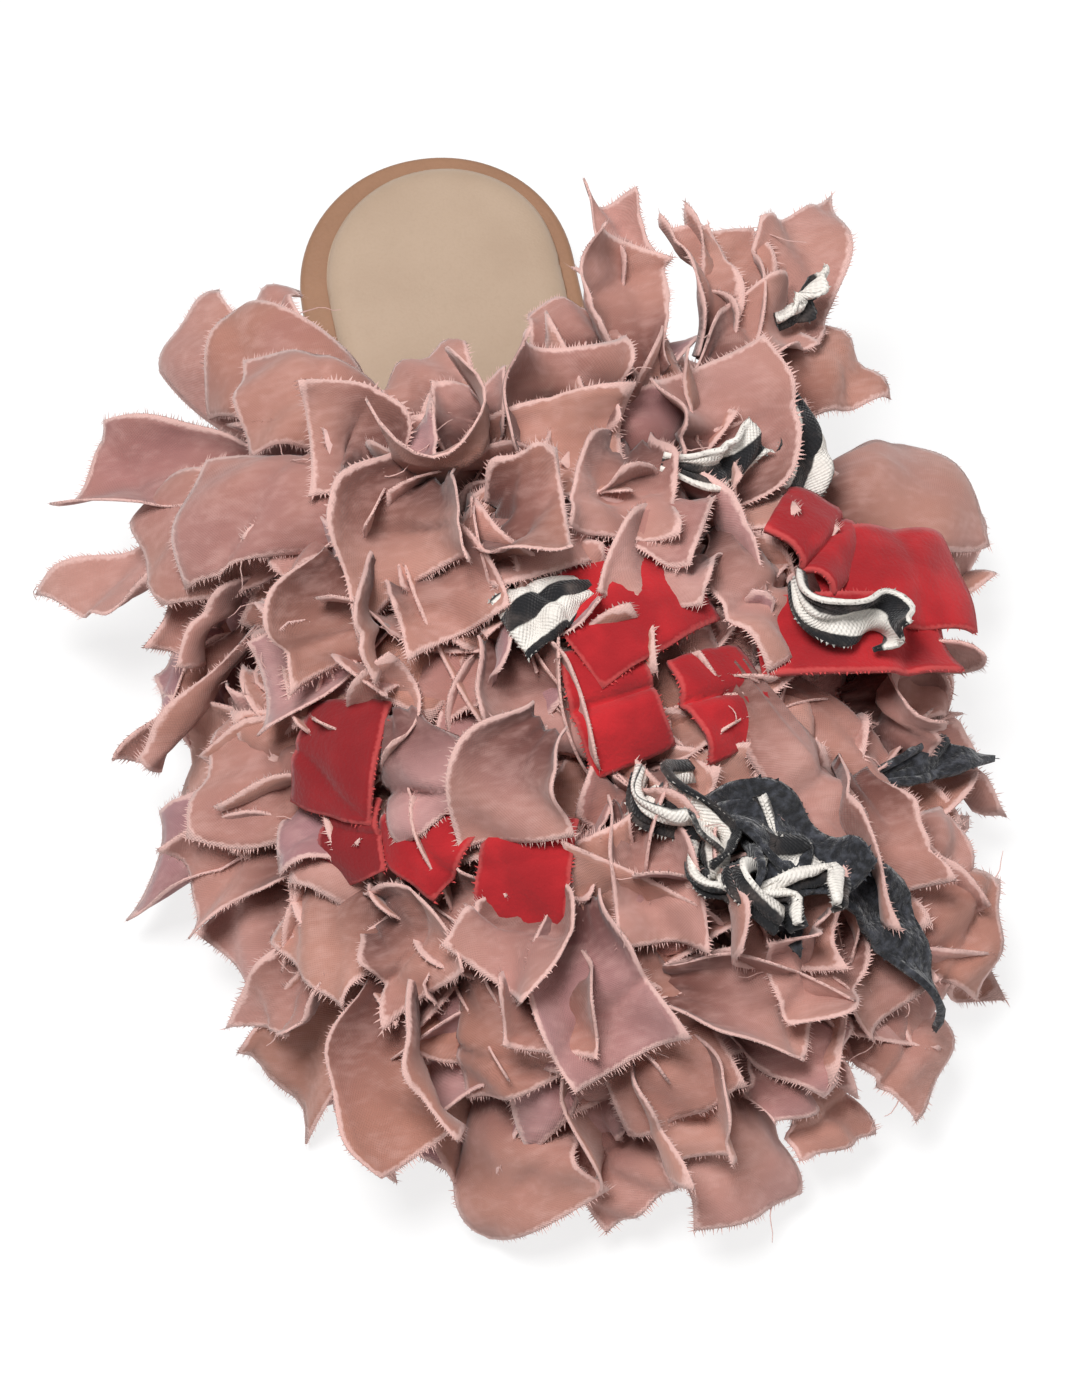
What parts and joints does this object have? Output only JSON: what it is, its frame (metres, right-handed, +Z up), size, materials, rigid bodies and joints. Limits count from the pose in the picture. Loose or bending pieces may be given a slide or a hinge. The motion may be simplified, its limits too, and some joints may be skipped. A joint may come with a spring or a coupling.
{
  "type": "pom pom mule",
  "caption": "Flat backless slip-on for the right foot: low sole, padded insole and a closed vamp hidden under pompoms of torn cotton strips that fan out like petals.",
  "frame": {"origin": "on the floor, under the middle of the heel, at mount heel_ground", "axes": "+Y from the heel to the toe, +X to the outer side of the right foot, +Z up"},
  "size_m": [0.1897, 0.2823, 0.1082],
  "materials": {
    "outsole_rubber": "matt",
    "tan_leather": "satin",
    "beige_leather": "satin",
    "vamp_canvas": "woven",
    "pink_cotton": "woven, with frayed edges",
    "red_felt": "felted",
    "striped_knit": "ribbed knit, black and white",
    "charcoal_wool": "boiled wool"
  },
  "bodies": {
    "root": {"outsole": "outsole_rubber", "footbed": "tan_leather", "insole_pad": "beige_leather", "upper": "vamp_canvas", "pompom_collar_outer": "pink_cotton", "pompom_collar_crest_outer": "pink_cotton", "pompom_collar_crest_inner": "pink_cotton", "pompom_collar_inner": "pink_cotton", "pompom_instep_outer": "pink_cotton", "pompom_instep": "pink_cotton", "pompom_instep_inner": "pink_cotton", "pompom_ball_outer": "pink_cotton", "pompom_ball": "pink_cotton", "pompom_ball_inner": "pink_cotton", "pompom_toe_outer": "pink_cotton", "pompom_toe": "pink_cotton", "pompom_toe_inner": "pink_cotton"}
  },
  "joints": []
}
